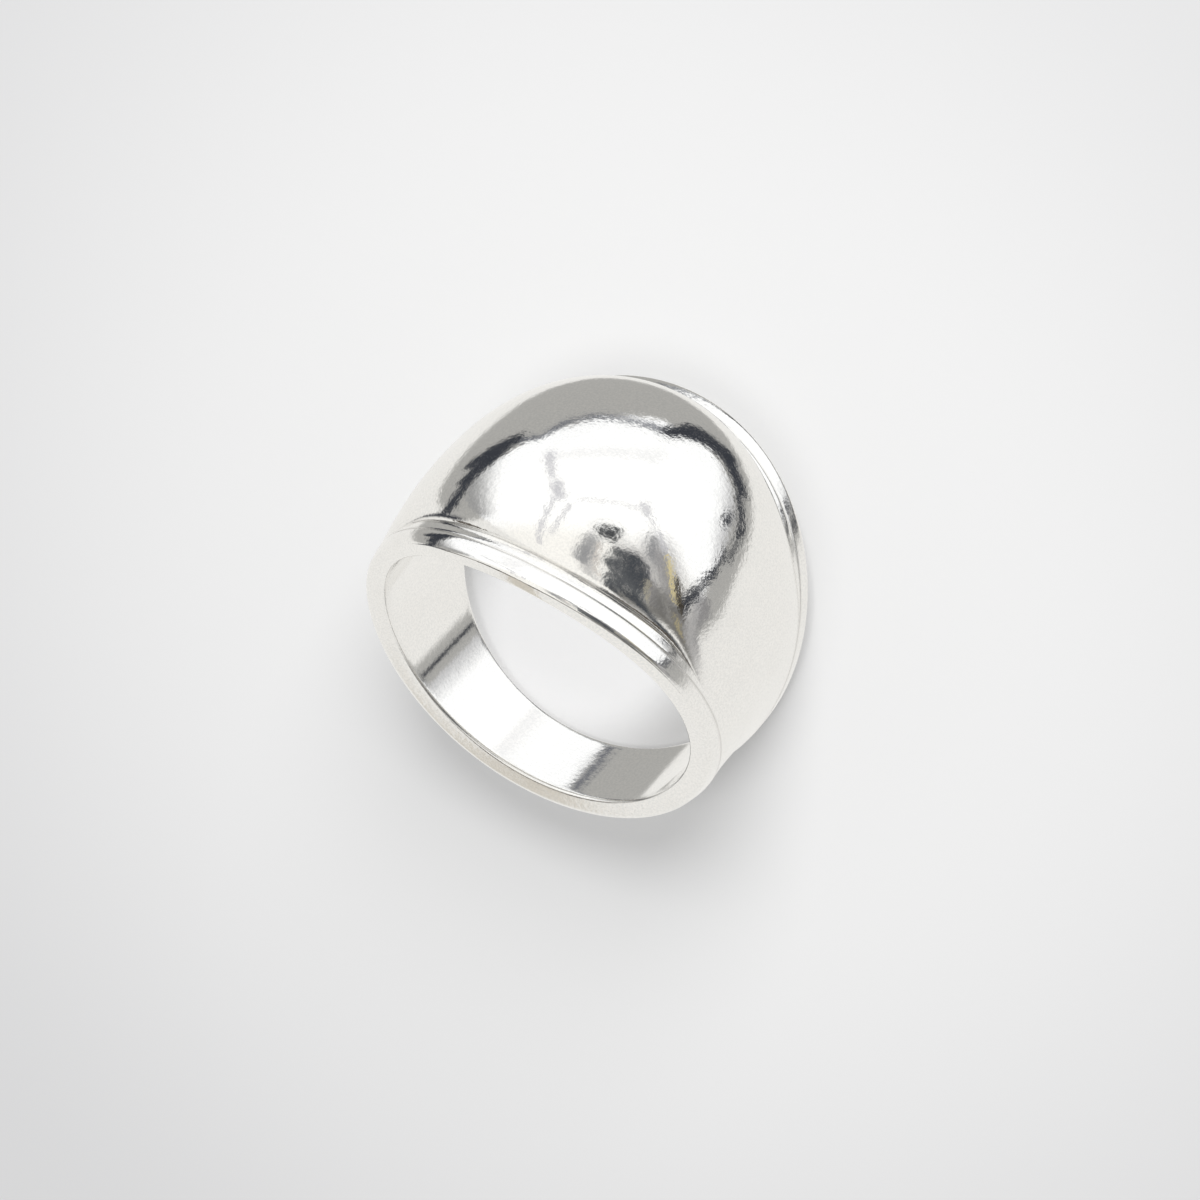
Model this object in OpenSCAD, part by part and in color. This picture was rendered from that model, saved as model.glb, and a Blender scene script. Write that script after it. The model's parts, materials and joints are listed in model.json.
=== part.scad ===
// Silver dome ring, lying on its side as it does when it is taken off.
// One soldered piece: a band that is wide over the top and narrow under the finger, whose sheet swells
// into a hollow dome between two raised rims. The dome points to -Y and the finger hole looks upwards.

/* [Finger hole] */
// Inside diameter, the ring size
bore_d = 17.2; // [15:0.1:20]
// Width of the eased edge at each end of the hole
bore_ease = 0.15; // [0.05:0.05:0.25]

/* [Band] */
// Width over the top, from side face to side face
top_w = 18; // [14:0.5:22]
// Width at the left and right of the finger
side_w = 9; // [7.5:0.25:11]
// Width of the shank under the finger
shank_w = 4.5; // [3.5:0.25:7]
// How late the band widens on its way up, as a share of its taper
taper_lag = 0.07; // [0:0.01:0.2]
// Thickness of the shank and of the flanks, half way across
shank_t = 1.1; // [0.9:0.05:1.5]

/* [Dome] */
// Height of the dome above the thickness of the shank
dome_rise = 2.95; // [1.5:0.05:5]
// How soon the dome falls away to the sides; a higher power falls sooner
dome_fall = 4; // [3:0.25:6]
// Fullness across the dome; a higher power is flatter in the middle
dome_full = 2.24; // [1.8:0.02:3]
// Roundness of the dome where it dives into the valley; 2 is an ellipse
dome_edge = 1.6; // [1.2:0.05:2]
// The same roundness on the flanks, where the sheet rises more gently
flank_edge = 1.15; // [1:0.05:1.6]
// Thickness of the sheet over the hollow
sheet_t = 1.2; // [0.8:0.05:1.5]
// Thickness of the sheet beside the valley
side_t = 0.9; // [0.6:0.05:1.2]
// Angle from the top at which the hollow ends, to the left and right
hollow_span = 66; // [45:1:75]

/* [Rims] */
// Height of the rims above the finger hole, over the top
rim_top_h = 0.92; // [0.75:0.01:1.3]
// Height of the rims at the left and right
rim_side_h = 1.27; // [1:0.01:1.6]
// Height of the rims under the finger
rim_shank_h = 1.2; // [0.9:0.01:1.5]
// Radius of the outer corner of each rim
rim_corner = 0.5; // [0.3:0.05:0.5]
// Width of the rounded bead along each edge
bead_w = 1; // [0.7:0.05:1.3]
// Drop from the bead to the crease beside it
bead_drop = 0.07; // [0.04:0.01:0.15]
// Width of the low ridge between the bead and the dome
ridge_w = 0.76; // [0.5:0.02:0.9]
// Height of the low ridge
ridge_h = 0.14; // [0.08:0.02:0.3]
// Angle from the top at which the ridge ends
ridge_span = 51; // [35:1:60]
// Angle over which the blunt end of the ridge rises from nothing
ridge_run = 6; // [4:1:20]
// How much narrower the ridge of the lower rim is, over the top
lower_trim = 0.45; // [0:0.05:0.5]

/* [Hidden] */
silver = [0.87, 0.87, 0.85];
bore_r = bore_d / 2;
// Sections round the ring, and the steps of the arcs in one section
sections = 96;
section_step = 360 / sections;
corner_step = 22.5;
arc_step = 30;
crown_step = 11.25;
// Depth to which the band reaches into the hole before the hole is bored
bore_margin = 0.5;
// The strip that the ridge lies on: its least width, the angle at which that is reached and the run to it
strip_least = 0.12;
strip_span = 76;
strip_run = 36;
// The angle beyond which the sheet has the flanks' roundness, and the run to it
edge_span = 70;
edge_run = 28;
// Fall of the bead's top, and how late and how suddenly it drops into the crease
bead_crown = 0.02;
bead_power = 14;
// Flatness of the ridge's top, and how soon the lower rim gets its full ridge
ridge_power = 5;
trim_power = 4;
// Steps and roundness of the hollow, and how far its ends stay inside the hole
hollow_step = 7.5;
hollow_crown_step = 15;
hollow_power = 4;
hollow_base = 1.2;
hollow_lip = 0.3;

// A size that is known over the top, at the sides and under the finger; a is the angle from the top
function along(a, at_top, at_side, at_shank) =
    at_side + (at_top - at_shank) / 2 * cos(a) + ((at_top + at_shank) / 2 - at_side) * pow(cos(a), 2);

// A smooth step from 0 to 1
function ease_in(t) = let (c = min(1, max(0, t))) c * c * (3 - 2 * c);

// Heights and widths of the section at an angle from the top
function half_width(a) =
    along(a, top_w, side_w, shank_w) / 2 + taper_lag * (top_w - shank_w) / 4 * (pow(cos(a), 3) - cos(a));
function rim_r(a) = bore_r + along(a, rim_top_h, rim_side_h, rim_shank_h);
function crease_r(a) = rim_r(a) - bead_drop;
function strip_w(a) = strip_least + (ridge_w - strip_least) * ease_in((strip_span - abs(a)) / strip_run);
function valley_y(a) = half_width(a) - bead_w - strip_w(a);
function foot_edge(a) = flank_edge + (dome_edge - flank_edge) * ease_in((edge_span - abs(a)) / edge_run);

// Distance of a rim's side face from the middle; side is 1 for the upper rim and -1 for the lower one
function rim_y(a, side) = half_width(a) - (side < 0 ? lower_trim * pow(max(0, cos(a)), trim_power) : 0);

// Height of the ridge across its width, from -1 to 1; its ends are round like a nose
function ridge_rise(a, across) = let (t = min(1, max(0, (ridge_span - abs(a)) / ridge_run)))
    ridge_h * sqrt(max(0, 1 - pow(abs(across), ridge_power) - pow(1 - t, 2)));
function crown_r(a) = bore_r + shank_t + dome_rise * pow((1 + cos(a)) / 2, dome_fall);

// Rise of the dome across its width, 1 in the middle and 0 at the valleys
function swell(u, a) = pow(max(0, 1 - pow(abs(u), dome_full)), 1 / foot_edge(a));

// One rim's half of a section as [across, radius]: hole edge, side face, corner, bead and ridge
function rim_profile(a, side) = let (
    w = rim_y(a, side), r = rim_r(a), strip = w - bead_w - valley_y(a), share = strip / ridge_w
) concat(
    [[w - bore_ease - bore_margin, bore_r - bore_margin], [w, bore_r + bore_ease]],
    [for (b = [0:corner_step:90]) [w - rim_corner * (1 - cos(b)), r - rim_corner * (1 - sin(b))]],
    [for (b = [arc_step:arc_step:90]) let (s = sin(b))
        [w - rim_corner - (bead_w - rim_corner) * s,
         r - bead_crown * s * s - (bead_drop - bead_crown) * pow(s, bead_power)]],
    [for (b = [arc_step:arc_step:180]) let (s = (1 - cos(b)) / 2)
        [w - bead_w - strip * s, crease_r(a) + share * ridge_rise(a, cos(b))]]
);

// The dome's part of a section, from the -Y valley to the +Y one
function crown_profile(a) = [for (b = [-90 + crown_step:crown_step:90 - crown_step])
    [valley_y(a) * sin(b), crease_r(a) + (crown_r(a) - crease_r(a)) * swell(sin(b), a)]];

function section(a) = let (lower = rim_profile(a, -1), upper = rim_profile(a, 1))
    concat([for (p = lower) [-p[0], p[1]]], crown_profile(a), [for (i = [len(upper) - 1:-1:0]) upper[i]]);

// The hollow's section: it follows the dome from inside and ends inside the finger hole
function hollow_share(a) = sqrt(max(0.01, 1 - pow(abs(a) / hollow_span, hollow_power)));
function hollow_section(a) = let (
    half = (half_width(a) - bead_w - ridge_w - side_t) * hollow_share(a),
    foot = bore_r - hollow_lip,
    rise = (crown_r(a) - sheet_t - foot) * hollow_share(a)
) concat(
    [[-half, bore_r - hollow_base]],
    [for (b = [-90:hollow_crown_step:90]) [half * sin(b), foot + rise * swell(sin(b), a)]],
    [[half, bore_r - hollow_base]]
);

// A point of a section in the ring's upright frame: finger along Y, dome up
function placed(a, p) = [p[1] * sin(a), p[0], p[1] * cos(a)];

// Triangles between two neighbouring sections of n points each
function skin(from, to, n) = [for (j = [0:n - 1], half = [0, 1])
    let (k = (j + 1) % n) half == 0 ? [from + j, to + k, to + j] : [from + j, from + k, to + k]];

// The ring leans on its side: both ends of the -Y rim touch the surface
lean = atan2(rim_y(0, -1) - rim_y(180, -1), rim_r(0) + rim_r(180) - 2 * rim_corner);
tip = 90 - lean;
function lying(p) = [p[0], p[1] * cos(tip) - p[2] * sin(tip), p[1] * sin(tip) + p[2] * cos(tip)];
band_points = [for (i = [0:sections - 1]) let (a = i * section_step - 180) for (p = section(a)) placed(a, p)];
resting_points = [for (p = band_points) lying(p)];
rest_y = [for (p = resting_points) p[1]];
rest_z = [for (p = resting_points) p[2]];

module band() {
    n = len(section(0));
    polyhedron(
        points = band_points,
        faces = [for (i = [0:sections - 1]) each skin(i * n, (i + 1) % sections * n, n)]
    );
}

module finger_hole() {
    rotate([90, 0, 0])
        cylinder(h = 2 * top_w, d = bore_d, center = true, $fn = 2 * sections);
}

module hollow() {
    n = len(hollow_section(0));
    turns = [for (t = [-90:hollow_step:90]) hollow_span * sin(t)];
    last = len(turns) - 1;
    polyhedron(
        points = [for (a = turns) for (p = hollow_section(a)) placed(a, p)],
        faces = concat(
            [for (j = [1:n - 2]) [0, j, j + 1]],
            [for (i = [0:last - 1]) each skin(i * n, (i + 1) * n, n)],
            [for (j = [1:n - 2]) [last * n, last * n + j + 1, last * n + j]]
        )
    );
}

module ring() {
    color(silver)
        translate([0, -(min(rest_y) + max(rest_y)) / 2, -min(rest_z)])
            rotate([tip, 0, 0])
                difference() {
                    band();
                    finger_hole();
                    hollow();
                }
}

ring();
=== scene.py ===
# %% [markdown]
# # A silver dome ring in Blender
# The ring was built as an exact solid first, and that solid is loaded here as a fixed frame. It says where
# the ring lies, how wide its finger hole is and how much room it fills. This lesson gives the same ring a
# smooth, polished skin, a floor, a studio to reflect and a camera.

# %% Load the frame
import json
from math import atan, atan2, cos, degrees, pi, radians, sin, sqrt

import bpy
from mathutils import Matrix, Vector
from mathutils.bvhtree import BVHTree


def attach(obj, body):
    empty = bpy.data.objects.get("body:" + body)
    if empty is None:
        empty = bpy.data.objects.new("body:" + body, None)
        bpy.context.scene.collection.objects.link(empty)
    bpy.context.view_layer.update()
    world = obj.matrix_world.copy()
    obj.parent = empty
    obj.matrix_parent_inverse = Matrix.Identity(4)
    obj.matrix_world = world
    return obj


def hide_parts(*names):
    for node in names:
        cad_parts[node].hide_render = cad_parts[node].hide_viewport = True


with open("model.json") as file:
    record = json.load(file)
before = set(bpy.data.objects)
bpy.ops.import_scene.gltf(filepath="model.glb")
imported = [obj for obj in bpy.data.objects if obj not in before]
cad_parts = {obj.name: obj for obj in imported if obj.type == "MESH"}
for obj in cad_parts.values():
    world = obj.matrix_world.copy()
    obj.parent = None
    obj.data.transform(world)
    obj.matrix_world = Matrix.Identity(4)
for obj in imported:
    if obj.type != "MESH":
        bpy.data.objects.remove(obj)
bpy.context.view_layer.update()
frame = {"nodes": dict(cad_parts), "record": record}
cad_ring = frame["nodes"]["ring"]

# %% [markdown]
# ## Where the finger goes
# Everything on a ring is measured from its finger hole. The record states that hole as a mount: a point on
# its axis, a direction and a radius. The ring lies on its side, so the axis leans. A matrix that turns +Y
# onto this axis takes each point from the upright ring, where it is easy to draw, to the ring at rest.

# %% Place of the ring
MM = 0.001
hole = next(m for m in frame["record"]["mounts"] if m["name"] == "finger_hole")
LOWER_TRIM = 0.45     # how much narrower the lower rim is over the top
hole_axis = Vector(hole["axis"]).normalized()
hole_centre = Vector(hole["pos_m"]) - hole_axis * LOWER_TRIM / 2 * MM
tip = atan2(hole_axis.z, hole_axis.y)
to_rest = Matrix.Translation(hole_centre) @ Matrix.Rotation(tip, 4, "X") @ Matrix.Scale(MM, 4)
print("the hole leans", round(90 - degrees(tip), 2), "degrees from upright")

# %% [markdown]
# ## Sizes of the band
# The band is wide over the top and narrow under the finger. Its widths and heights are known at three
# places: over the top, at the sides and under the finger. One curve through the three gives every place
# between them, so the rims, the valleys and the dome all flow round the finger without a kink.

# %% Sizes in millimetres
hole_r = hole["dims"]["r_mm"]
widths = 18, 9, 4.5   # over the top, at the sides, under the finger
taper_lag = 0.07      # how late the band widens on its way up
rim_heights = 0.92, 1.27, 1.2    # of the rims over the hole, at the same three places
trim_power = 4        # how soon the lower rim gets its full width, round the ring


def along(turn, over_top, at_side, at_shank):
    """A size at an angle from the top of the ring, in degrees."""
    c = cos(radians(turn))
    return at_side + (over_top - at_shank) / 2 * c + ((over_top + at_shank) / 2 - at_side) * c * c


def ease_in(t):
    t = min(1, max(0, t))
    return t * t * (3 - 2 * t)


def half_width(turn):
    c = cos(radians(turn))
    return along(turn, *widths) / 2 + taper_lag * (widths[0] - widths[2]) / 4 * (c ** 3 - c)


def rim_y(turn, side):
    """Where the side face is; side is 1 for the upper rim and -1 for the one that lies on the floor."""
    trim = LOWER_TRIM * max(0, cos(radians(turn))) ** trim_power
    return half_width(turn) - (trim if side < 0 else 0)


def rim_r(turn):
    return hole_r + along(turn, *rim_heights)


print("half widths every 45 degrees:", [round(half_width(a), 2) for a in range(0, 181, 45)])

# %% [markdown]
# ## Beads and ridges
# A rounded bead runs along each edge of the band. Over the top a strip lies between the bead and the dome,
# and it carries a low flat ridge, which fades out at the sides. The beads are where a worn ring shows its
# wear first: the upper one leans outwards a little, and towards one end the cloth has made it rounder.
# Each of these is one small number or curve, so that the light on the rim can be matched bit by bit.

# %% Curves of the beads and ridges
bead_w = 1.0
bead_drop = 0.02                    # how far the bead dips at the crease
lean_top, lean_end, lean_low = 0.12, 0.25, 0.02    # how far the bead leans outwards
lean_from, lean_run = 12, 20        # degrees round the ring where the lean grows
round_from, round_run = 18, 16      # and where the bead gets rounder
worn_end = 80                       # and where both end
ridge_w, ridge_h = 0.76, 0.06
ridge_power = 5                     # 2 would be a round ridge; more is flatter
ridge_span, ridge_run = 51, 6       # degrees to the ridge's end, and the length of its nose
strip_least = 0.12                  # width of the strip where there is no ridge
strip_span, strip_run = 76, 36      # degrees to where it is that narrow, and the length of its taper


def strip_w(turn):
    """Width of the strip between the bead and the dome, on which the ridge lies."""
    return strip_least + (ridge_w - strip_least) * ease_in((strip_span - abs(turn)) / strip_run)


def ridge_rise(turn, across):
    """Height of the ridge at a share of its half width; its end is round like a nose."""
    t = min(1, max(0, (ridge_span - abs(turn)) / ridge_run))
    return ridge_h * sqrt(max(0, 1 - abs(across) ** ridge_power - (1 - t) ** 2))


def valley_y(turn):
    return half_width(turn) - bead_w - strip_w(turn)


def bead_lean(turn, side):
    """The upper bead leans, most towards one end; the lower one stands almost straight."""
    if side < 0:
        return lean_low
    worn = ease_in((turn - lean_from) / lean_run) * ease_in((worn_end - turn) / lean_run)
    return lean_top + (lean_end - lean_top) * worn


def bead_round(turn, side):
    """1 where the bead is flat; 2 at the end where wear has made it round."""
    if side < 0:
        return 1
    return 1 + ease_in((turn - round_from) / round_run) * ease_in((worn_end - turn) / lean_run)


def crease_r(turn):
    return rim_r(turn) - bead_drop


print("valley beside the dome, over the top:", round(valley_y(0), 2), "mm from the middle of the band")

# %% [markdown]
# ## The dome
# Between the rims the sheet swells up. Across the ring its curve is fuller than an ellipse in the middle
# and dives steeply into the valleys beside the rims. Round the ring it is high over the top and falls away
# to the thickness of the shank well before the sides, which is what makes it a dome and not a barrel.

# %% Curves of the dome
shank_t = 1.1
dome_rise, dome_fall = 2.95, 4      # height of the dome, and how soon it falls away round the ring
dome_full = 2.24                    # 2 would be an ellipse across the ring; more is fuller
dome_edge, flank_edge = 1.6, 1.15   # how steeply the foot rises, at the dome and on the flanks
edge_span, edge_run = 70, 28        # degrees to the flank, and the length of the change


def crown_r(turn):
    return hole_r + shank_t + dome_rise * ((1 + cos(radians(turn))) / 2) ** dome_fall


def foot_edge(turn):
    """How steeply the sheet rises from its foot: steep at the dome, gentle on the flanks."""
    return flank_edge + (dome_edge - flank_edge) * ease_in((edge_span - abs(turn)) / edge_run)


def swell(u, edge):
    """Share of the dome's rise at a share of its half width."""
    return max(0.0, 1 - abs(u) ** dome_full) ** (1 / edge)


print("the dome stands", round(crown_r(0) - hole_r, 2), "mm over the finger hole, the shank", shank_t)

# %% [markdown]
# ## One section of the metal
# A cut through the ring at any angle is a closed loop: from the edge of the hole up the flat side face,
# over the rounded corner and the bead, down into the crease, over the low ridge, into the valley, across
# the dome, and back along the inside. All sections are given the same number of points, so that they can
# be joined one to the next. Points crowd together where the metal turns sharply. The corner's arc stops
# where it runs on smoothly into the slope of the bead.

# %% The section from edge to dome
hole_edge = 0.15      # roundness of the edge of the finger hole
rim_corner = 0.28     # roundness of a rim's outer corner
bead_power = 14       # how suddenly the bead dips at the crease
EDGE_STEPS, CORNER_STEPS, BEAD_STEPS, RIDGE_STEPS, DOME_STEPS = 3, 6, 7, 10, 36


def arc(first, last, count):
    """Angles from first to last, without the first."""
    return [radians(first + (last - first) * i / count) for i in range(1, count + 1)]


def rim_loop(turn, side):
    """One rim as (across, radius), from the hole's edge to the valley."""
    w, r = rim_y(turn, side), rim_r(turn)
    loop = [(w - hole_edge, hole_r)]
    for b in arc(0, 90, EDGE_STEPS):
        loop.append((w - hole_edge * (1 - sin(b)), hole_r + hole_edge * (1 - cos(b))))
    lean, curve = bead_lean(turn, side), bead_round(turn, side)
    meet = pi / 2 - atan(curve * lean / (bead_w - rim_corner))
    corner, start = r - lean - rim_corner * sin(meet), rim_corner * (1 - cos(meet))
    loop += [(w, (hole_r + hole_edge + corner) / 2), (w, corner)]
    for b in arc(0, degrees(meet), CORNER_STEPS):
        loop.append((w - rim_corner * (1 - cos(b)), corner + rim_corner * sin(b)))
    for b in arc(0, 90, BEAD_STEPS):
        s = sin(b)
        loop.append((w - start - (bead_w - start) * s,
                     r - lean * (1 - s) ** curve - bead_drop * s ** bead_power))
    strip = w - bead_w - valley_y(turn)
    for b in arc(0, 180, RIDGE_STEPS):
        rise = strip / ridge_w * ridge_rise(turn, cos(b))
        loop.append((w - bead_w - strip * (1 - cos(b)) / 2, crease_r(turn) + rise))
    return loop


def dome_loop(turn):
    """The dome between the two valleys, from -Y to +Y."""
    low, high, half = crease_r(turn), crown_r(turn), valley_y(turn)
    steps = arc(-90, 90, DOME_STEPS)[:-1]
    return [(half * sin(b), low + (high - low) * swell(sin(b), foot_edge(turn))) for b in steps]


print("points on one rim:", len(rim_loop(0, 1)), "and on the dome:", len(dome_loop(0)))

# %% [markdown]
# ## The inside
# The finger touches a plain round hole. Behind the dome the metal is hollow, because a jeweller punches the
# dome up from sheet. The hollow follows the dome from inside at the thickness of the sheet, and it opens
# into the hole in an oval mouth. Past the ends of the mouth its points lie on the wall of the hole.

# %% The section from inside
sheet_t = 1.2         # thickness of the dome's sheet
side_t = 0.9          # metal left between the valley and the hollow
hollow_span = 66      # degrees to the hollow's ends
HOLLOW_STEPS, LAND_STEPS = 18, 4
FOOT_DROP = 0.3       # how far the hollow's own curve starts inside the hole
MOUTH_LEAST = 1.2     # half width of the strip where there is no mouth


def hollow_share(turn):
    return sqrt(max(0.01, 1 - (abs(turn) / hollow_span) ** 4))


def inside_loop(turn):
    """The hole and the hollow behind the dome, from +Y to -Y."""
    foot = hole_r - FOOT_DROP
    rise, edge_of = (crown_r(turn) - sheet_t - foot) * hollow_share(turn), foot_edge(turn)
    half = (half_width(turn) - bead_w - ridge_w - side_t) * hollow_share(turn)
    mouth = 0
    if rise > FOOT_DROP:
        mouth = half * (1 - (FOOT_DROP / rise) ** edge_of) ** (1 / dome_full)
    reach = max(mouth, min(MOUTH_LEAST, half_width(turn) / 2))
    lands = []
    for side in (1, -1):
        edge = rim_y(turn, side) - hole_edge
        shares = [i / LAND_STEPS for i in range(1, LAND_STEPS)]
        lands.append([(side * (edge + (reach - edge) * share), hole_r) for share in shares])
    inner = []
    for b in [pi / 2] + arc(90, -90, HOLLOW_STEPS):
        y = reach * sin(b)
        deep = foot + rise * swell(y / half, edge_of) if abs(y) < mouth else 0
        inner.append((y, max(hole_r, deep)))
    return lands[0] + inner + lands[1][::-1]


def section(turn):
    lower = [(-y, r) for y, r in rim_loop(turn, -1)]
    return lower + dome_loop(turn) + rim_loop(turn, 1)[::-1] + inside_loop(turn)


points_round = len(section(0))
print("points in one section:", points_round)

# %% [markdown]
# ## From a torus to the ring
# A torus is a closed tube bent round a hole, as a ring is. Blender's torus has one circle of points for
# each step round the finger. It is added with as many steps as wanted, and then each circle takes
# the shape of the section at its place. Nothing is cut or joined, so the skin stays closed and its faces
# keep pointing outwards.

# %% Add the torus and shape it
STEPS_ROUND = 180
bpy.ops.object.select_all(action="DESELECT")
bpy.ops.mesh.primitive_torus_add(
    major_segments=STEPS_ROUND, minor_segments=points_round, major_radius=0.01, minor_radius=0.001)
ring = bpy.context.object
ring.name = ring.data.name = "dome_ring"
turns = [360 * i / STEPS_ROUND - 180 for i in range(STEPS_ROUND)]
sections = [section(turn) for turn in turns]
for i, turn in enumerate(turns):
    a = radians(turn)
    for j, (y, r) in enumerate(sections[i]):
        ring.data.vertices[i * points_round + j].co = to_rest @ Vector((r * sin(a), y, r * cos(a)))
print("vertices:", len(ring.data.vertices), "faces:", len(ring.data.polygons))

# %% [markdown]
# ## Marks for the finish
# Polish never reaches the bottom of a narrow valley, and the flanks are rubbed more softly than the dome.
# Such things follow the metal and not the room, so each point stores three numbers: how deep it sits in a
# valley or crease, its angle from the top, and whether it is on the inside. The finish reads them further
# down.

# %% Store the marks
MARK_REACH = 0.12     # how far a crease darkens the metal beside it
rim_points = len(rim_loop(0, 1))
crease_at = rim_points - 1 - RIDGE_STEPS
valley_at = rim_points - 1
last = 2 * rim_points + DOME_STEPS - 2
bead_creases = {crease_at, last - crease_at}
creases = bead_creases | {valley_at, last - valley_at}


def depth_mark(turn, y, r):
    """1 in a valley or crease, fading to 0 over a few points."""
    lines = [(s * (rim_y(turn, s) - bead_w), crease_r(turn)) for s in (-1, 1)]
    if abs(turn) < ridge_span:
        lines += [(s * valley_y(turn), crease_r(turn)) for s in (-1, 1)]
    near = min(sqrt((y - ly) ** 2 + (r - lr) ** 2) for ly, lr in lines)
    return ease_in(1 - near / MARK_REACH) if r > hole_r + 0.1 else 0.0


depth = ring.data.attributes.new("depth", "FLOAT", "POINT")
from_top = ring.data.attributes.new("turn", "FLOAT", "POINT")
inside = ring.data.attributes.new("inside", "FLOAT", "POINT")
for i, turn in enumerate(turns):
    for j, (y, r) in enumerate(sections[i]):
        depth.data[i * points_round + j].value = depth_mark(turn, y, r)
        from_top.data[i * points_round + j].value = abs(turn) / 180
        inside.data[i * points_round + j].value = float(j > last)
print("creases run along points", sorted(creases))

# %% [markdown]
# ## Crisp creases, smooth everywhere else
# A Subdivision Surface modifier rounds every edge a little. That suits the polished metal, but the creases
# beside the beads and the valleys beside the dome are narrow and crisp on the real ring. Their edges are
# given a crease value first, which tells the modifier to keep them.

# %% Crease the edges and subdivide
CRISP = 0.6           # 1 would keep the creases fully sharp
SMOOTH_UP_TO = 50     # degrees between two faces that still look like one curve
bpy.ops.object.select_all(action="DESELECT")
ring.select_set(True)
bpy.context.view_layer.objects.active = ring
bpy.ops.object.mode_set(mode="EDIT")
bpy.ops.mesh.select_mode(type="EDGE")
bpy.ops.mesh.select_all(action="DESELECT")
bpy.ops.object.mode_set(mode="OBJECT")
for edge in ring.data.edges:
    a, b = (v % points_round for v in edge.vertices)
    turn = turns[edge.vertices[0] // points_round]
    edge.select = a == b and (a in bead_creases or a in creases and abs(turn) < ridge_span)
print("creased edges:", sum(e.select for e in ring.data.edges))
bpy.ops.object.mode_set(mode="EDIT")
bpy.ops.transform.edge_crease(value=CRISP)
bpy.ops.mesh.select_all(action="SELECT")
bpy.ops.mesh.normals_make_consistent(inside=False)
bpy.ops.object.mode_set(mode="OBJECT")
smooth = ring.modifiers.new("smooth", "SUBSURF")
smooth.levels = smooth.render_levels = 1
bpy.ops.object.modifier_apply(modifier="smooth")
bpy.ops.object.shade_smooth_by_angle(angle=radians(SMOOTH_UP_TO))
print("triangles:", 2 * len(ring.data.polygons))

# %% [markdown]
# ## Measure it against the solid
# The skin stands for the exact solid, so it is laid against it: the distance from each point of the solid
# to the nearest place on the skin shows whether the two are the same ring.

# %% Compare and take over
skin = BVHTree.FromPolygons([v.co for v in ring.data.vertices], [p.vertices for p in ring.data.polygons])
off = sorted(skin.find_nearest(v.co)[3] / MM for v in cad_ring.data.vertices)
print("from solid to skin, in mm: middle", round(off[len(off) // 2], 4), "largest", round(off[-1], 4))
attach(ring, "root")
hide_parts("ring")

# %% [markdown]
# ## Shader maths as sums
# A finish is a graph of nodes. Written as sums it is easier to read: each value below wraps one output of a
# node, and adding or multiplying two of them adds the Math node that does it.

# %% A value that can be added and multiplied
class Value:
    def __init__(self, tree, socket):
        self.tree, self.socket = tree, socket

    def math(self, operation, *others):
        return Sheet(self.tree).add("ShaderNodeMath", {"operation": operation}, self, *others)

    def __add__(self, other):
        return self.math("ADD", other)

    def __sub__(self, other):
        return self.math("SUBTRACT", other)

    def __rsub__(self, other):
        return self.math("MULTIPLY", -1).math("ADD", other)

    def __mul__(self, other):
        return self.math("MULTIPLY", other)

    def __truediv__(self, other):
        return self.math("DIVIDE", other)

    def __pow__(self, other):
        return self.math("POWER", other)

    __radd__, __rmul__ = __add__, __mul__

    def size(self):
        return self.math("ABSOLUTE")

    def between(self, low, high):
        """0 below low, 1 above high, eased between them; high may be the lower one."""
        up = Sheet(self.tree).add("ShaderNodeMapRange", {"interpolation_type": "SMOOTHSTEP"},
                                  self, min(low, high), max(low, high), 0, 1)
        return up if high > low else 1 - up


print("sums ready")

# %% [markdown]
# ## A sheet to draw nodes on
# Adding a node takes the same few lines each time: make it, set it, and give each input a link or a plain
# number. The sheet does this for one node tree, and it has short names for the three that come up most:
# a mix of two colours, a noise, and turned or stretched coordinates.

# %% A sheet of nodes
class Sheet:
    """Adds nodes to one node tree."""
    def __init__(self, tree):
        self.tree = tree

    def feed(self, socket, value):
        """Link a value to an input, or set the input to a plain number, vector or colour."""
        if isinstance(value, Value):
            self.tree.links.new(value.socket, socket)
        else:
            socket.default_value = value

    def add(self, kind, settings, *inputs, out=0, **named):
        node = self.tree.nodes.new(kind)
        for name, value in settings.items():
            setattr(node, name, value)
        pairs = list(zip(node.inputs, inputs)) + [(node.inputs[k], v) for k, v in named.items()]
        for socket, value in pairs:
            self.feed(socket, value)
        return Value(self.tree, node.outputs[out]) if node.outputs else None

    def mix(self, share, first, second):
        """A colour between two colours."""
        node = self.tree.nodes.new("ShaderNodeMix")
        node.data_type = "RGBA"
        for name, value in (("Factor_Float", share), ("A_Color", first), ("B_Color", second)):
            socket = next(s for s in node.inputs if s.identifier == name)
            self.feed(socket, (*value, 1) if isinstance(value, tuple) else value)
        return Value(self.tree, next(s for s in node.outputs if s.identifier == "Result_Color"))

    def noise(self, where, scale, detail=2.0, roughness=0.5):
        return self.add("ShaderNodeTexNoise", {"noise_dimensions": "3D"}, where,
                        Scale=scale, Detail=detail, Roughness=roughness)

    def turned(self, where, turn, stretch):
        """The same coordinates, turned and then stretched."""
        return self.add("ShaderNodeMapping", {"vector_type": "POINT"}, where,
                        Rotation=[radians(t) for t in turn], Scale=stretch)


print("sheet of nodes ready")

# %% [markdown]
# ## Polished silver with years on it
# Silver reflects almost everything, with a faint warm tint. What tells it from chrome is its wear: a fine
# haze of scratches in every direction, a skin that is never quite flat, small pits on the flanks, and a
# grey-brown bloom where the cloth doesn't reach. First each kind of wear gets its own pattern, from 0 to 1.
# The scale of a noise counts its cells in a metre, so 4200 gives one every quarter of a millimetre.
# Scratches are long thin cells, laid in four directions.

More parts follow.
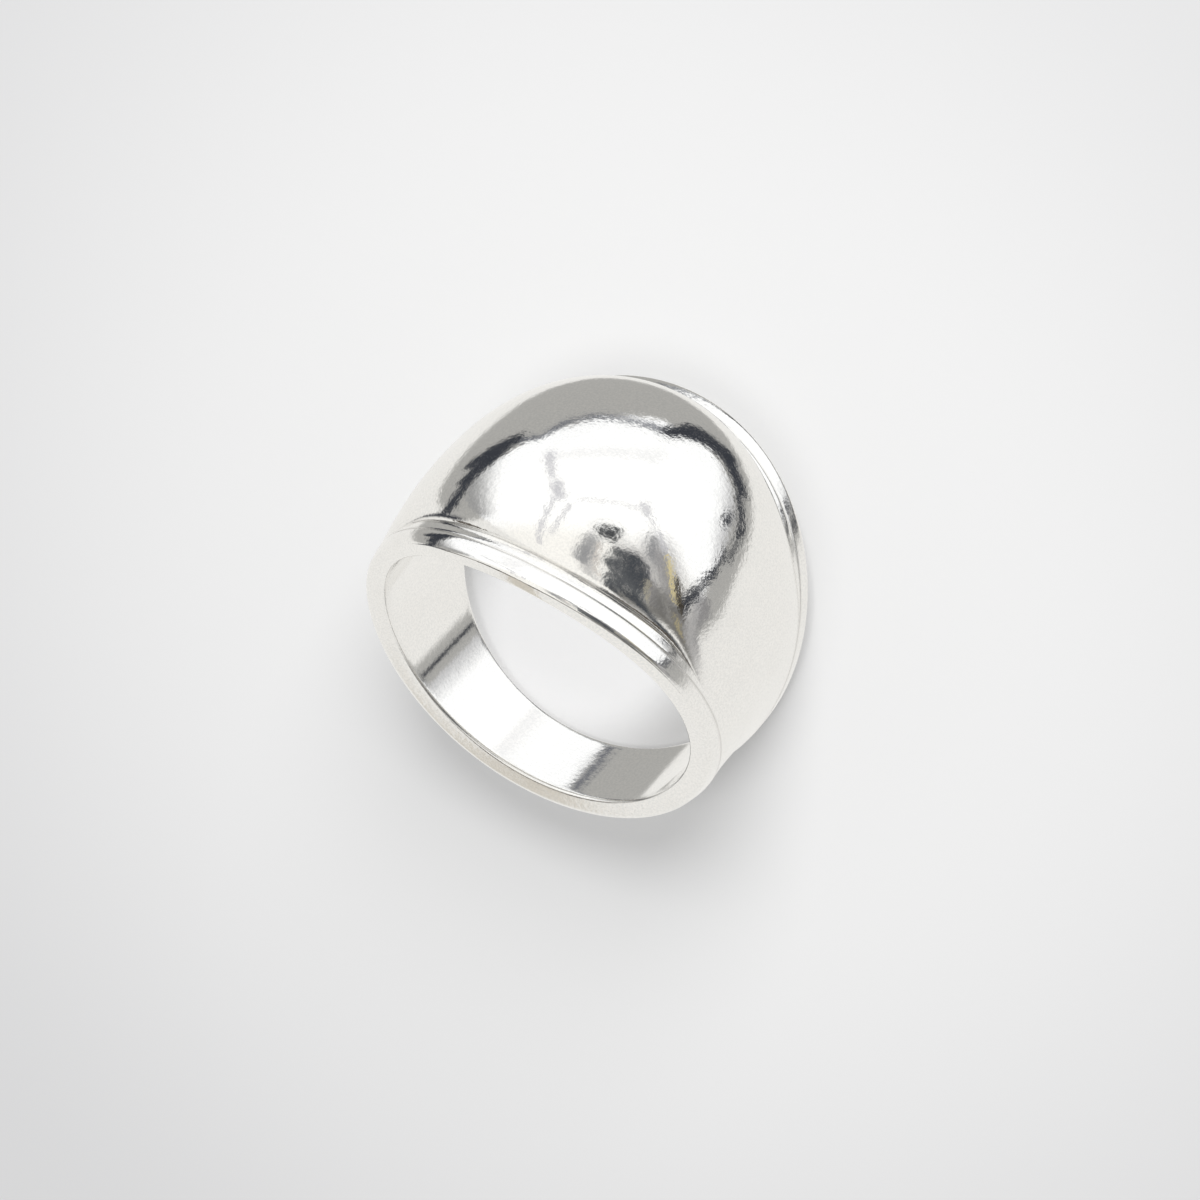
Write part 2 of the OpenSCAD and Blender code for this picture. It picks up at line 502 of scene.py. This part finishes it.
# %% Where the wear is
silver = bpy.data.materials.new("silver")
silver.use_nodes = True
silver.node_tree.nodes.clear()
s = Sheet(silver.node_tree)
where = s.add("ShaderNodeTexCoord", {}, out=3)
deep = s.add("ShaderNodeAttribute", {"attribute_name": "depth"}, out=2)
round_it = s.add("ShaderNodeAttribute", {"attribute_name": "turn"}, out=2)
outside = 1 - s.add("ShaderNodeAttribute", {"attribute_name": "inside"}, out=2)

SCRATCH_TURNS = (20, 0, 35), (75, 30, 0), (0, 65, 110), (130, 10, 70)
scratches = None
for k, turn in enumerate(SCRATCH_TURNS):
    line = s.noise(s.turned(where, turn, (300 + 120 * k, 7000, 7000)), 1.0, 1.0)
    thin = (line - 0.5).size().between(0.012, 0.0)
    patch = s.noise(where, 260 + 90 * k, 2.0).between(0.45, 0.62)
    scratches = thin * patch if scratches is None else scratches.math("MAXIMUM", thin * patch)
peel = s.noise(where, 4200, 3.0)
wave = s.noise(where, 330, 2.0)
grain = s.noise(where, 9000, 2.0)
pit = s.add("ShaderNodeTexVoronoi", {"feature": "F1"}, where, Scale=4600.0).between(0.22, 0.06)
flank = round_it.between(0.2, 0.34) * outside
bloom = s.noise(where, 420, 4.0).between(0.5, 0.75)
tarnish = deep * (0.35 + 0.65 * s.noise(where, 900, 3.0))
print("nodes for the wear:", len(silver.node_tree.nodes))

# %% [markdown]
# ## Colour, roughness and bump
# The patterns now change the silver a little. Bloom, pits and tarnish take it from near white towards grey
# brown. Scratches only scatter the light, so they go into the roughness. The unevenness of the skin and the
# pits are a very shallow bump, because the metal itself is smooth; inside the hole the finger has rubbed
# most of it away.

# %% Mix the finish
POLISHED, BLOOMED, GRAINED = (0.93, 0.92, 0.90), (0.88, 0.865, 0.84), (0.83, 0.83, 0.82)
PITTED, TARNISHED = (0.62, 0.60, 0.57), (0.42, 0.40, 0.37)
bright = s.mix(bloom * 0.35, POLISHED, BLOOMED)
bright = s.mix(pit * flank * 0.35, bright, PITTED)
bright = s.mix(grain.between(0.35, 0.65) * 0.7, bright, GRAINED)
base = s.mix(tarnish * 0.45, bright, TARNISHED)
rough = 0.06 + 0.10 * flank + 0.05 * bloom + 0.30 * tarnish + 0.12 * scratches
height = peel * (1.2 + 2.3 * outside) + wave * 4.0 - pit * flank * 1.2
bump = s.add("ShaderNodeBump", {}, Strength=1.0, Distance=2.0e-6, Height=height)
metal = s.add("ShaderNodeBsdfPrincipled", {}, Metallic=1.0, Roughness=rough, Normal=bump,
              **{"Base Color": base})
s.add("ShaderNodeOutputMaterial", {}, metal)
ring.data.materials.clear()
ring.data.materials.append(silver)
print("nodes in the silver:", len(silver.node_tree.nodes))

# %% [markdown]
# ## The camera
# The picture was taken with a long lens from above the front edge, and the ring looks steep in it. The
# camera is placed from the finger hole of the upright ring: a direction, a distance and the way its picture
# is turned. The lens follows from the size that the hole has in the picture.

# %% Place the camera
TO_CAMERA = -0.27197, 0.70715, 0.65267
TO_THE_RIGHT = -0.86183, -0.48072, 0.16173
PICTURE = 1200            # pixels across the picture
HOLE_PX = 175.82          # pixels that the hole's radius takes in it
HOLE_AT = 580.5, 624.9    # pixel of the hole's centre
distance = 0.430
upright = to_rest.to_3x3().normalized()
towards = (upright @ Vector(TO_CAMERA)).normalized()
right = upright @ Vector(TO_THE_RIGHT)
right = (right - right.dot(towards) * towards).normalized()
upwards = towards.cross(right)
px = hole_r * MM / HOLE_PX
aim = hole_centre + right * (PICTURE / 2 - HOLE_AT[0]) * px - upwards * (PICTURE / 2 - HOLE_AT[1]) * px

camera_data = bpy.data.cameras.new("camera")
camera_data.lens = camera_data.sensor_width * distance / (PICTURE * px)
camera_data.clip_start = 0.02
camera = bpy.data.objects.new("camera", camera_data)
bpy.context.scene.collection.objects.link(camera)
looks = Matrix((right, upwards, towards)).transposed().to_4x4()
camera.matrix_world = Matrix.Translation(aim + towards * distance) @ looks
bpy.context.scene.camera = camera
print("lens in mm:", round(camera_data.lens, 1))

# %% [markdown]
# ## The floor
# A plain pale sheet, wide enough to fill the picture from any side. The ring is meant to mirror the studio
# and not the sheet it lies on, so the sheet is hidden from reflections. A polished hole throws light on the
# sheet below it, and the sheet falls off in brightness further out. Both are a faint glow of the sheet
# itself, because light that goes by way of the metal would need far more samples.

# %% Lay the floor
bpy.ops.object.select_all(action="DESELECT")
bpy.ops.mesh.primitive_grid_add(x_subdivisions=8, y_subdivisions=8, size=6.0, location=(0, 0, 0))
floor = bpy.context.object
floor.name = floor.data.name = "floor"
floor.visible_glossy = False
pale = bpy.data.materials.new("pale_floor")
pale.use_nodes = True
pale.node_tree.nodes.clear()
f = Sheet(pale.node_tree)
at = f.add("ShaderNodeTexCoord", {}, out=3)
UNDER_HOLE = 0.0016, 0.0037, 0
far = f.add("ShaderNodeVectorMath", {"operation": "LENGTH"}, at, out=1)
tone = f.mix(far.between(0.018, 0.052), (0.24, 0.24, 0.24), (0.11, 0.11, 0.115))
thrown = f.add("ShaderNodeVectorMath", {"operation": "DISTANCE"}, at, UNDER_HOLE, out=1)
tone = f.mix(thrown.between(0.0075, 0.004), tone, (0.58, 0.58, 0.585))
plain = f.add("ShaderNodeBsdfPrincipled", {}, Roughness=1.0, **{
    "Base Color": (0.50, 0.50, 0.50, 1), "Specular IOR Level": 0.0, "Emission Color": tone,
    "Emission Strength": 1.0})
f.add("ShaderNodeOutputMaterial", {}, plain)
floor.data.materials.append(pale)
print("floor side in m:", round(floor.dimensions.x, 1))

# %% [markdown]
# ## The studio that the silver mirrors
# A polished ring shows little of itself and mostly its surroundings. The studio is painted on the world: a
# wide bright softbox, the dark frame round it, a grey wall behind that and a white table all round. The
# sheet of directions is unrolled from the softbox's middle, in degrees, so that each part is a simple
# shape on it: X runs to the right and Y to the back. Two slow noises push the shapes about by a degree or
# two, because nothing in a real studio is ruled with a straightedge.

# %% Unroll the directions
LIGHT_UP = (upright @ Vector((0.13593, 0.08803, 0.98680))).normalized()
LIGHT_RIGHT = (right - right.dot(LIGHT_UP) * LIGHT_UP).normalized()
LIGHT_BACK = LIGHT_UP.cross(LIGHT_RIGHT)
if LIGHT_BACK.dot(towards) > 0:
    LIGHT_BACK = -LIGHT_BACK

world = bpy.data.worlds.new("studio")
bpy.context.scene.world = world
world.use_nodes = True
world.node_tree.nodes.clear()
w = Sheet(world.node_tree)
way = w.add("ShaderNodeTexCoord", {}, out=0)


def share_along(axis):
    return w.add("ShaderNodeVectorMath", {"operation": "DOT_PRODUCT"}, way, tuple(axis), out=1)


across, back, over = share_along(LIGHT_RIGHT), share_along(LIGHT_BACK), share_along(LIGHT_UP)
flat = ((across * across + back * back) ** 0.5).math("MAXIMUM", 1e-4)
fold = over.math("ARCCOSINE") * (180 / pi) / flat
X, Y = across * fold, back * fold + 3
sheet = w.add("ShaderNodeCombineXYZ", {}, X, Y, 0)
X = X + (w.noise(sheet, 0.20, 2.0) - 0.5) * 4 + (w.noise(sheet, 0.9, 3.0) - 0.5) * 3
Y = Y + (w.noise(sheet, 0.18, 2.0) - 0.5) * 4 + (w.noise(sheet, 0.8, 3.0) - 0.5) * 3
print("the softbox leans", round(degrees(LIGHT_UP.angle(Vector((0, 0, 1))))), "degrees from overhead")

# %% [markdown]
# ## Brushes
# Three shapes are enough to paint it: a rounded rectangle, a round spot and a straight stroke with round
# ends. Each is a mask, 1 inside and 0 outside, with an edge as soft as wanted.

# %% Shapes to paint with
def rounded(x, y, half_x, half_y, power):
    """1 on the edge of a rounded rectangle round x, y; less inside."""
    return (((X - x).size() / half_x) ** power + ((Y - y).size() / half_y) ** power) ** (1 / power)


def spot(x, y, half_x, half_y, soft):
    """A round patch with a soft edge."""
    return rounded(x, y, half_x, half_y, 2).between(1 + soft, 1 - soft)


def stroke(x0, y0, x1, y1, half, soft):
    """A straight brush stroke from one point to another."""
    length = sqrt((x1 - x0) ** 2 + (y1 - y0) ** 2)
    ux, uy = (x1 - x0) / length, (y1 - y0) / length
    dx, dy = X - x0, Y - y0
    run = (dx * ux + dy * uy).math("MAXIMUM", 0).math("MINIMUM", length)
    off_x, off_y = dx - run * ux, dy - run * uy
    return ((off_x * off_x + off_y * off_y) ** 0.5).between(half + soft, half - soft)


def most(*masks):
    top = masks[0]
    for mask in masks[1:]:
        top = top.math("MAXIMUM", mask)
    return top


def strokes(rows):
    """Strokes as rows of x0, y0, x1, y1, half width, soft edge and, where it isn't 1, strength."""
    masks = []
    for row in rows:
        mask = stroke(*row[:6])
        masks.append(mask * row[6] if len(row) > 6 else mask)
    return most(*masks)


def dab(x0, y0, x1, y1, half, soft, strength, colour):
    """One stroke of its own colour, over what is painted so far."""
    return w.mix(stroke(x0, y0, x1, y1, half, soft) * strength, studio, colour)


print("brushes ready")

# %% [markdown]
# ## The softbox and the room
# The box is brightest in the middle. Its left end and its right edge are greyer, and the side near the
# camera takes a cream tint from the table. Behind the box the wall is a broad grey crescent.

# %% Paint the box and the room
WALL_GREY, TABLE_WHITE = (0.44, 0.435, 0.42), (0.90, 0.89, 0.865)
box = rounded(6, -14, 80, 78, 3)
wall = ((X - 2).size() / 99) ** 1.65 + (Y.size() / 113) ** 1.65
beyond = (Y.between(6, -6) * X.between(20, -20)).math("MAXIMUM", wall.between(0.93, 1.0))
room = w.mix(beyond, WALL_GREY, TABLE_WHITE)
glow = w.mix(box.between(0.55, 0.98), (1.25, 1.25, 1.24), (1.13, 1.14, 1.15))
glow = w.mix(Y.between(0, -30) * 0.8, glow, (1.02, 1.00, 0.95))
glow = w.mix((X - Y * 0.4).between(-54, -76) * Y.between(-6, 10), glow, (0.36, 0.36, 0.36))
glow = w.mix((X + Y * 0.5).between(82, 96) * 0.85, glow, (0.45, 0.45, 0.46))
studio = w.mix(box.between(1.0, 0.975), room, glow)
print("nodes in the studio so far:", len(world.node_tree.nodes))

# %% [markdown]
# ## What stands before the softbox
# Inside the softbox the silver also mirrors the camera's place: a dark lens with a grey glow round it, its
# stand with a side arm, a haze of things that stand further off, and faint seams in the cloth of the box.

# %% Paint what stands before the softbox
HAZE = (
    (52, -16, 70, -44, 12, 11), (36, -32, 46, -56, 13, 7), (80, -44, 66, -68, 11, 5, 0.85),
    (88, -12, 80, -42, 5, 2, 0.85), (-2, -40, -20, -72, 6, 6, 0.6))
LOW_HAZE = (-2, -86, 52, -68, 10, 7), (56, -44, 46, -72, 8, 7, 0.9), (64, -48, 60, -76, 8, 6)
SEAMS = (
    (-12, 14, -46, -40, 1.6, 1.8), (-6, 4, -26, -24, 1.2, 1.6), (-13, 20, -12, 12, 4, 4),
    (-16, 46, -15, 28, 2.2, 2.5), (-2, 8, 36, 9, 0.7, 1.0), (37, 12, 39, 8, 2.5, 2.5),
    (38, 9, 58, -12, 1.0, 1.0), (-16, 42, 34, 41, 2.5, 3, 0.35))
SIDE_ARM = (4, -25, -14, -50, 5.5, 4), (46, -6, 45, -18, 2.5, 2.5)
STAND = (
    (22, -29, 40, -32, 5, 3), (32, -36, 16, -70, 13, 4), (10, -58, -6, -82, 6, 4),
    (18, -70, 34, -110, 10, 8))
LENS = (18, -12, 24, -11, 2.2, 2), (14, -18, 10, -13, 1.5, 1.8)
studio = w.mix(strokes(HAZE) * 0.87, studio, (0.23, 0.225, 0.235))
studio = w.mix(strokes(LOW_HAZE) * 0.9, studio, (0.15, 0.145, 0.135))
studio = w.mix(strokes(SEAMS) * 0.85, studio, (0.58, 0.58, 0.62))
studio = w.mix(strokes(SIDE_ARM) * 0.8, studio, (0.24, 0.245, 0.26))
streaks = w.noise(w.turned(sheet, (0, 0, 20), (0.5, 0.09, 1)), 1.0, 3.0).between(0.56, 0.68)
stand = most(strokes(STAND), spot(22, -46, 14, 14, 0.3))
stand_tone = w.mix(streaks, (0.055, 0.062, 0.073), (0.15, 0.145, 0.14))
studio = w.mix(stand * (0.95 - 0.3 * streaks), studio, stand_tone)
studio = w.mix(spot(17, -14, 12, 9, 0.6) * 0.35, studio, (0.50, 0.51, 0.52))
studio = w.mix(most(spot(16.5, -15, 7, 5.5, 0.35), strokes(LENS)) * 0.95, studio, (0.03, 0.034, 0.04))
studio = dab(9, -27, -8, -66, 1.8, 1.6, 0.7, (0.56, 0.51, 0.47))
print("strokes before the box:", sum(len(rows) for rows in (HAZE, LOW_HAZE, SEAMS, SIDE_ARM, STAND, LENS)))

# %% [markdown]
# ## The frame and the arms
# The dark frame shows as the arc over the dome, thick at its two upper corners and thin between them. Its
# near side is the dark line between the bead and the side face of the front rim. The side face itself
# mirrors one cream patch of the room. Two brass arms are the yellow streaks at the lower right.

# %% Paint the frame and the arms
FRAME = (
    (-31, 69, -46, 70, 5, 1.5), (-36, 66, -54, 57, 5.5, 1.8), (-58, 52, -76, 38, 4, 2.5),
    (-76, 37, -96, 26, 5, 3), (-98, 32, -97, 10, 6, 5), (33, 57, 46, 63, 4, 1.5),
    (43, 65, 55, 67, 7.5, 1.5), (59, 64, 71, 55, 4.5, 1.5), (72, 50, 84, 34, 2.2, 1.2),
    (84, 34, 88, 23, 1.2, 1.0), (84, 23, 85, 8, 1.4, 0.8), (85, 8, 80, -12, 1.8, 1.0),
    (80, -12, 71, -38, 3.0, 1.4), (75, 33, 76, 31, 2.2, 1.2))
THIN_FRAME = (
    (-29, 67, -20, 61, 1.8, 1.2), (-20, 61, -10, 67, 1.6, 1.0), (-10, 67, 2, 64, 1.5, 1.0),
    (2, 64, 20, 58, 1.6, 1.2), (20, 58, 34, 55, 2.0, 1.2))
NEAR_FRAME = (
    (-104, 2, -98, -36, 4.5, 1.5), (-98, -36, -76, -72, 8, 2), (-76, -72, -40, -96, 7, 2),
    (-40, -96, 5, -108, 6, 2), (5, -108, 40, -106, 5, 2))
studio = w.mix(strokes(THIN_FRAME) * 0.9, studio, (0.12, 0.13, 0.16))
studio = w.mix(strokes(FRAME), studio, (0.045, 0.049, 0.060))
studio = w.mix(strokes(NEAR_FRAME), studio, (0.10, 0.085, 0.07))
studio = w.mix(spot(-100, -69, 20, 12, 0.3), studio, (0.66, 0.62, 0.55))
studio = dab(58, -12, 65, -36, 1.7, 1.0, 1.0, (0.72, 0.62, 0.34))
studio = dab(66, -20, 71, -42, 2.4, 1.4, 0.95, (0.06, 0.05, 0.035))
studio = dab(44, -40, 36, -64, 1.5, 1.4, 0.8, (0.42, 0.39, 0.30))
studio = dab(66, -50, 63, -66, 1.4, 1.4, 0.8, (0.52, 0.45, 0.26))
print("strokes of the frame:", len(FRAME) + len(THIN_FRAME) + len(NEAR_FRAME))

# %% [markdown]
# ## Only for reflections
# The floor shouldn't take its light from a painted room, so the world is split. Rays that come from a
# mirror see the studio, and all others see an even grey.

# %% Split the world
PLAIN_GREY = (0.32, 0.32, 0.32, 1)
mirrored = w.add("ShaderNodeLightPath", {}, out=3)
plain_light = w.add("ShaderNodeBackground", {}, PLAIN_GREY, 1.0)
studio_light = w.add("ShaderNodeBackground", {}, studio, 1.0)
w.add("ShaderNodeOutputWorld", {}, w.add("ShaderNodeMixShader", {}, mirrored, plain_light, studio_light))
print("nodes in the studio:", len(world.node_tree.nodes))

# %% [markdown]
# ## Two soft lamps
# A large lamp where the softbox is gives the floor its brightness and the ring a soft shadow. A weaker one
# straight above keeps the shadow light. The silver doesn't mirror them, because the painted box stands
# for them there.

# %% Hang the lamps
LAMP_AWAY = 0.6       # metres from the ring


def hang(name, direction, size, energy):
    data = bpy.data.lights.new(name, "AREA")
    data.shape, data.size, data.energy = "DISK", size, energy
    lamp = bpy.data.objects.new(name, data)
    bpy.context.scene.collection.objects.link(lamp)
    lamp.location = hole_centre + direction.normalized() * LAMP_AWAY
    lamp.rotation_euler = (hole_centre - lamp.location).to_track_quat("-Z", "Y").to_euler()
    lamp.visible_glossy = False


hang("softbox", towards + upwards * 0.55, 0.40, 4.3)
hang("overhead", Vector((0, 0, 1)), 0.25, 0.85)
bpy.context.scene.view_settings.view_transform = "Standard"
